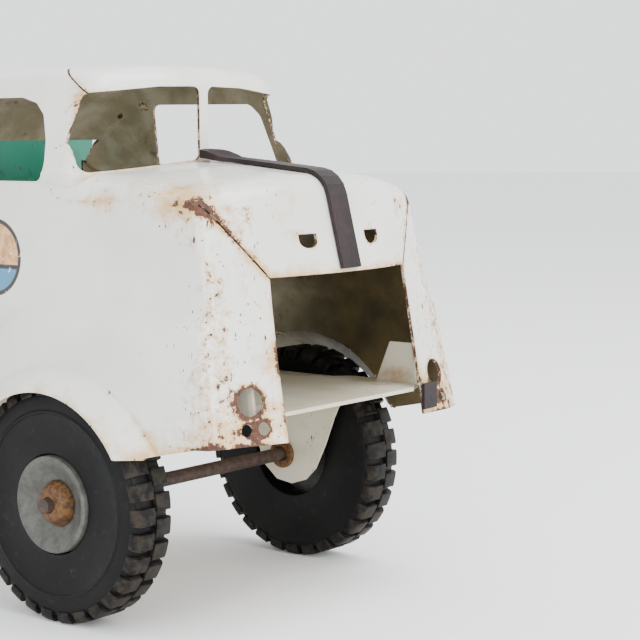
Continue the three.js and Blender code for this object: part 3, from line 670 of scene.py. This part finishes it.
def strap_paint():
    look = Look("strap_brown")
    worn = look.step(look.noise(3.5, 6, 0.72), 0.60, 0.70)
    colour = look.mix(look.step(look.noise(12, 4), 0.3, 0.7), rgb(24, 16, 17), rgb(38, 27, 28))
    look.set("Base Color", look.mix(worn, colour, rgb(66, 36, 25)))
    look.set("Specular IOR Level", 0.3)
    look.set("Roughness", look.math("MULTIPLY_ADD", look.noise(2.0, 5), 0.3, 0.42))
    look.bump(look.noise(1.4, 5, 0.7), 0.35, 0.15)
    return look.material


def floor_paper():
    look = Look("floor_paper")
    look.set("Base Color", look.mix(look.noise(400, 2), (0.88, 0.88, 0.88, 1), (0.91, 0.91, 0.91, 1)))
    look.set("Roughness", 0.9)
    look.set("Specular IOR Level", 0.15)
    return look.material


WHITE = enamel("white_enamel", rgb(206, 199, 180), rgb(184, 173, 146), rgb(150, 108, 58), rgb(84, 50, 28), False)
CAB_WHITE = enamel("cab_enamel", rgb(219, 219, 214), rgb(209, 208, 199), rgb(196, 154, 88), rgb(88, 46, 20), True, 0.2)
GREEN = enamel("green_enamel", rgb(34, 116, 94), rgb(27, 98, 80), rgb(26, 66, 52), rgb(90, 56, 34), False)
INSIDE = inside_paint()
EDGE = cut_edge()
RUBBER = rubber()
ZINC = zinc()
ROD = rusty("rusty_rod", rgb(72, 54, 42), rgb(42, 33, 29))
CAP = rusty("rusty_cap", rgb(110, 74, 32), rgb(56, 35, 19), 1.8)
STRAP = strap_paint()

# ---- Cab -------------------------------------------------------------------------------
# Where the paint is worn: centre, radius and strength of each patch, in mm.
WEAR = [
    ((51, -52, 133), 13, 0.64), ((45, -54, 131.5), 13, 0.56), ((38, -50, 137), 12, 0.46), ((56, -45, 126), 6, 0.38),
    ((50, -55, 122), 9, 0.44), ((52, -56, 108), 9, 0.40), ((55, -57, 95), 10, 0.44), ((55, -58, 84), 11, 0.46),
    ((60, -39, 118), 4, 0.26), ((16, -56, 129), 5, 0.36), ((34, -56, 132), 5, 0.26), ((-4, -47, 163), 8, 0.42),
    ((-1, -52, 148), 6, 0.34), ((66, -38, 84), 7, 0.42), ((67, -38, 70), 6, 0.46), ((65, -45, 73.5), 8.5, 0.52),
    ((66, -44, 65), 7, 0.58), ((61, -58, 62), 7, 0.62), ((66, -48, 61), 8, 0.46), ((58, -52, 98), 5, 0.34),
    ((57, -56, 76), 6, 0.34), ((66, 44, 66), 8, 0.62), ((67, 38, 68), 6, 0.72), ((52, 52, 130), 7, 0.40),
    ((60, 12, 128), 6, 0.22), ((50, -30, 139), 9, 0.26), ((0, 46, 166), 7, 0.35), ((64, 30, 114), 5, 0.3),
]
# Ochre stains: the same, wider and softer.
STAIN = [
    ((44, -50, 134), 16, 0.5), ((30, -50, 138), 13, 0.32), ((61, -24, 122), 11, 0.35), ((58, -20, 134), 9, 0.3),
    ((62, -41, 112), 9, 0.4), ((66, -44, 68), 14, 0.5), ((62, -54, 62), 13, 0.45), ((66, -37, 85), 10, 0.45),
    ((20, -60, 60), 14, 0.32), ((40, -58, 60), 14, 0.4), ((48, -10, 140), 12, 0.3), ((-3, -47, 165), 11, 0.4),
    ((67, 40, 66), 13, 0.6), ((14, -54, 132), 9, 0.3), ((52, -57, 95), 10, 0.22), ((0, 30, 147), 16, 0.25),
]


def patch(points, spots):
    total = np.zeros(len(points))
    for centre, radius, strength in spots:
        gap = np.linalg.norm(points - np.array(centre, float), axis=1)
        total = np.maximum(total, strength * np.clip(1.25 - gap / radius, 0, 1))
    return total


def paint_cab(mesh, skin):
    """Sorts the shell's faces into outside, inside and rim, and stores where it is worn."""
    kinds = []
    for poly in mesh.polygons:
        _, facing, _, depth = skin.find_nearest(poly.center)
        turn = facing.dot(poly.normal)
        kinds.append(0 if depth < 0.02 * MM or turn > 0.6 else 1 if turn < -0.6 else 2)
    bm = bmesh.new()
    bm.from_mesh(mesh)
    bm.faces.ensure_lookup_table()
    for face in bm.faces:
        face.material_index = kinds[face.index]
    rim = [e for e in bm.edges if len(e.link_faces) == 2 and e.calc_face_angle(0) > 0.85]
    rim_points = [(e.verts[0].co + e.verts[1].co) / 2 for e in rim]
    rim_points += [v.co.copy() for e in rim for v in e.verts]
    bm.to_mesh(mesh)
    bm.free()
    tree = KDTree(len(rim_points))
    for i, co in enumerate(rim_points):
        tree.insert(co, i)
    tree.balance()
    count = len(mesh.vertices)
    co = np.empty(count * 3)
    mesh.vertices.foreach_get("co", co)
    points = (co.reshape(-1, 3) - np.array(ORIGIN)) / MM
    edge = np.array([tree.find(v.co)[2] / MM for v in mesh.vertices])
    near_edge = np.clip(1 - edge / 2.4, 0, 1)
    front = smooth(points[:, 0], 20, 60)
    rough = np.array([noise.noise(Vector(p) * 0.09) for p in points]) * 0.5 + 0.5
    wear = patch(points, WEAR) + near_edge * (0.26 + 0.26 * front) * (0.5 + rough)
    crease = np.exp(-(((points[:, 0] - 53 - (133 - points[:, 2]) * 0.11) / 3.5) ** 2)) * (points[:, 1] < 0)
    wear = np.maximum(wear, crease * (0.22 + 0.16 * rough) * smooth(points[:, 2], 134, 118))
    arch = np.hypot(points[:, 0] - ARCH[0], points[:, 2] - ARCH[1])
    lip = np.clip(1 - (arch - ARCH[2]) / 9, 0, 1) * (np.abs(points[:, 1]) > 56)
    flap = np.clip(1 - (points[:, 2] - 110) / 5.5, 0, 1) * (np.abs(points[:, 1]) < 34) * (points[:, 0] > 55)
    foot = np.clip(1 - (points[:, 2] - 56) / 6, 0, 1) * (points[:, 0] > 20)
    stain = patch(points, STAIN) + np.maximum.reduce([lip * 0.55, flap * 0.75, foot * 0.5, near_edge * 0.35])
    x, y, z = points.T
    panel = smooth(x, 52, 57) * (np.abs(y) > 34) * (z < 132)
    hood = smooth(z, 122, 132) * (z < 146) * smooth(x, -6, 4)
    cowl = np.exp(-(((x - 2) / 9) ** 2)) * smooth(z, 134, 138) * (z < 150)
    side = smooth(x, 20, 50) * (np.abs(y) > 50)
    roof = smooth(z, 150, 168) * 0.5
    wear = np.maximum(wear, 0.36 * panel + 0.24 * hood + 0.20 * side + 0.12 * roof)
    stain += 0.16 * panel + 0.20 * hood + 0.10 * cowl + 0.06 * side + 0.10 * roof + 0.05
    for name, values in (("wear", wear), ("stain", stain)):
        layer = mesh.attributes.new(name, "FLOAT", "POINT")
        layer.data.foreach_set("value", np.clip(values, 0, 1.2).astype(np.float32))


shell, skin = cab_shell()
paint_cab(shell, skin)
shown("cab_skin", shell, "chassis", [CAB_WHITE, INSIDE, EDGE], 32, ["cab_shell"])


# ---- Wheels ------------------------------------------------------------------------------
def tyre(name, x, side, body):
    """A tyre with two staggered rows of blocks, a smooth dished sidewall and a thin raised ring."""
    out = TYRE_OUT
    profile = [(HUB_R + 0.3, TYRE_IN + 0.3), (17.5, TYRE_IN), (33, TYRE_IN + 0.2), (35.2, TYRE_IN + 0.9),
               (TREAD_R, TYRE_IN + 2.4), (TREAD_R, out - 2.6), (35.4, out - 1.2), (34, out - 0.75),
               (31, out - 0.5), (29.9, out - 0.45), (29.6, out - 0.05), (29.0, out - 0.05), (28.6, out - 0.6),
               (27, out - 0.95), (22, out - 1.3), (17.5, out - 1.1), (HUB_R + 0.3, out - 0.9)]
    points, faces = turned(profile, 144, (x, 0, WHEEL_R), side)
    middle = (TYRE_IN + out) / 2
    tread = [0.0] * len(points)
    rows = [(TYRE_IN + 0.3, middle - 0.35, 0.5, 1.7, 0.0), (middle + 0.35, out - 0.35, 0.0, 0.0, 2.1)]
    for low, high, turn, drop_low, drop_high in rows:
        for k in range(LUGS):
            centre = (k + turn) * 2 * math.pi / LUGS
            base = len(points)
            half = 2.75 / WHEEL_R
            across = np.linspace(-half, half, 5)
            span = [low, low + 0.9, low + 1.8, high - 1.8, high - 0.9, high]
            falls = [drop_low, drop_low * 0.28, 0, 0, drop_high * 0.28, drop_high]
            for level in (0, 1):
                for a in across:
                    for y, fall in zip(span, falls):
                        r = WHEEL_R - fall - 0.02 if level else TREAD_R - 2.0
                        t = centre + a
                        points.append((x + r * math.cos(t), side * y, WHEEL_R + r * math.sin(t)))
                        tread.append(1.0)
            n, m = len(across), len(span)
            top = base + n * m
            for i in range(n - 1):
                for j in range(m - 1):
                    q = [i * m + j, (i + 1) * m + j, (i + 1) * m + j + 1, i * m + j + 1]
                    faces.append(tuple(top + v for v in q))
                    faces.append(tuple(base + v for v in reversed(q)))
            rim = [i * m for i in range(n)] + [(n - 1) * m + j for j in range(1, m)]
            rim += [i * m + m - 1 for i in range(n - 2, -1, -1)] + [j for j in range(m - 2, 0, -1)]
            for a, b in zip(rim, rim[1:] + rim[:1]):
                faces.append((base + a, base + b, top + b, top + a))
    mesh = mesh_of(name, points, faces)
    bm = bmesh.new()
    bm.from_mesh(mesh)
    bmesh.ops.recalc_face_normals(bm, faces=bm.faces)
    bm.to_mesh(mesh)
    bm.free()
    layer = mesh.attributes.new("tread", "FLOAT", "POINT")
    layer.data.foreach_set("value", np.array(tread[:len(mesh.vertices)], np.float32))
    obj = shown(name + "_skin", mesh, body, RUBBER, 40, [name])
    bevel(obj, 0.4, 2, 50)
    return obj


def hub(name, x, side, body):
    profile = [(2.7, 53), (6.5, 53), (8, 59), (HUB_R - 0.1, 59), (HUB_R - 0.1, 66.2), (15.3, 66.7),
               (14.7, 66.95), (14.0, 66.8), (13.0, 66.1), (11.2, 64.9), (9.6, 63.9), (8.2, 63.3), (5, 63.0),
               (2.7, 63.0)]
    mesh = closed(name, *turned(profile, 96, (x, 0, WHEEL_R), side))
    return shown(name + "_skin", mesh, body, ZINC, 40, [name])


def cap(name, x, side):
    profile = [(2.6, 63.5), (7.3, 63.4), (7.3, 63.8), (6.9, 64.4), (6.5, 65.2), (5.8, 66.2), (4.6, 67.1),
               (3.4, 67.6), (2.6, 67.7)]
    mesh = closed(name, *turned(profile, 64, (x, 0, WHEEL_R), side))
    return shown(name + "_skin", mesh, "chassis", CAP, 40, [name])


for end, x in (("front", 0.0), ("rear", REAR_X)):
    for hand, side in (("left", 1), ("right", -1)):
        body = f"wheel_{end}_{hand}"
        tyre(f"tyre_{end}_{hand}", x, side, body)
        hub(f"hub_{end}_{hand}", x, side, body)
        cap(f"axle_cap_{end}_{hand}", x, side)

for end, x in (("front", 0.0), ("rear", REAR_X)):
    for hand, side in (("left", 1), ("right", -1)):
        ring = [(2.75, 45.2), (4.6, 45.3), (5.2, 45.8), (5.2, 46.6), (2.75, 46.6)]
        mesh = closed(f"axle_ring_{end}_{hand}", *turned(ring, 40, (x, 0, WHEEL_R), side))
        shown(f"axle_ring_{end}_{hand}", mesh, "chassis", CAP, 40)

# ---- Carried-over CAD nodes ----------------------------------------------------------------
CARRIED = {
    "hood_strap": (STRAP, 0.35), "bumper_tab": (STRAP, 0.25), "cab_cross_strap": (WHITE, 0.2),
    "chassis_frame": (WHITE, 0.25), "front_axle_saddle": (WHITE, 0.3), "rear_axle_saddle": (WHITE, 0.3),
    "hinge_bracket": (WHITE, 0.2), "crank_bracket": (WHITE, 0.2), "hinge_pin": (ROD, 0.3), "front_axle": (ROD, 0.4),
    "rear_axle": (ROD, 0.4), "lift_crank": (ROD, 0.0), "lift_roller": (ZINC, 0.5), "lever_knob": (STRAP, 0.0),
    "dump_bed": (GREEN, 0.3), "bed_sill_left": (GREEN, 0.2), "bed_sill_right": (GREEN, 0.2), "gate_ear_left": (GREEN, 0.2),
    "gate_ear_right": (GREEN, 0.2), "gate_pin": (ROD, 0.2), "tailgate": (GREEN, 0.25),
}
for name, (material, width) in CARRIED.items():
    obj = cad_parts[name]
    obj.data.materials.clear()
    obj.data.materials.append(material)
    if width:
        bevel(obj, width, 2, 40)

# ---- Stage, light and camera ------------------------------------------------------------------
floor_mesh = bpy.data.meshes.new("floor")
bm = bmesh.new()
bmesh.ops.create_circle(bm, cap_ends=True, segments=96, radius=6.0)
bm.to_mesh(floor_mesh)
bm.free()
floor = bpy.data.objects.new("floor", floor_mesh)
floor_mesh.materials.append(floor_paper())
bpy.context.scene.collection.objects.link(floor)

world = bpy.data.worlds.new("studio")
bpy.context.scene.world = world
world.use_nodes = True
world.node_tree.nodes["Background"].inputs["Color"].default_value = (0.96, 0.98, 1.0, 1)
world.node_tree.nodes["Background"].inputs["Strength"].default_value = 1.9


def area(name, place, target, size, power, colour=(1, 1, 1)):
    light = bpy.data.lights.new(name, "AREA")
    light.shape = "RECTANGLE"
    light.size, light.size_y = size
    light.energy = power
    light.color = colour
    obj = bpy.data.objects.new(name, light)
    obj.location = place
    obj.rotation_euler = (Vector(target) - Vector(place)).to_track_quat("-Z", "Y").to_euler()
    bpy.context.scene.collection.objects.link(obj)


middle = ORIGIN + Vector((0, 0, 0.1))
area("key", middle + Vector((0.45, 0.25, 1.1)), middle, (0.8, 0.8), 14)
area("front", middle + Vector((1.35, -0.2, 0.45)), middle, (0.5, 1.2), 16)
area("strip", middle + Vector((0.33, -1.15, 0.25)), middle, (0.08, 1.3), 7)

AZIMUTH, ELEVATION, ROLL = (math.radians(v) for v in (38.732, 5.994, -0.335))
FOCAL_PIXELS = 1796.2
camera = bpy.data.cameras.new("camera")
camera.sensor_width = 36
camera.lens = FOCAL_PIXELS / 640 * 36
camera.clip_start = 0.01
view = bpy.data.objects.new("camera", camera)
flat = math.cos(ELEVATION)
back = Vector((math.sin(AZIMUTH) * flat, -math.cos(AZIMUTH) * flat, math.sin(ELEVATION)))
right = Vector((math.cos(AZIMUTH), math.sin(AZIMUTH), 0))
up = back.cross(right)
turned_right = right * math.cos(ROLL) + up * math.sin(ROLL)
turned_up = up * math.cos(ROLL) - right * math.sin(ROLL)
place = at(411.85, -444.89, 153.78)
view.matrix_world = Matrix((
    (turned_right.x, turned_up.x, back.x, place.x),
    (turned_right.y, turned_up.y, back.y, place.y),
    (turned_right.z, turned_up.z, back.z, place.z),
    (0, 0, 0, 1)))
bpy.context.scene.collection.objects.link(view)
bpy.context.scene.camera = view
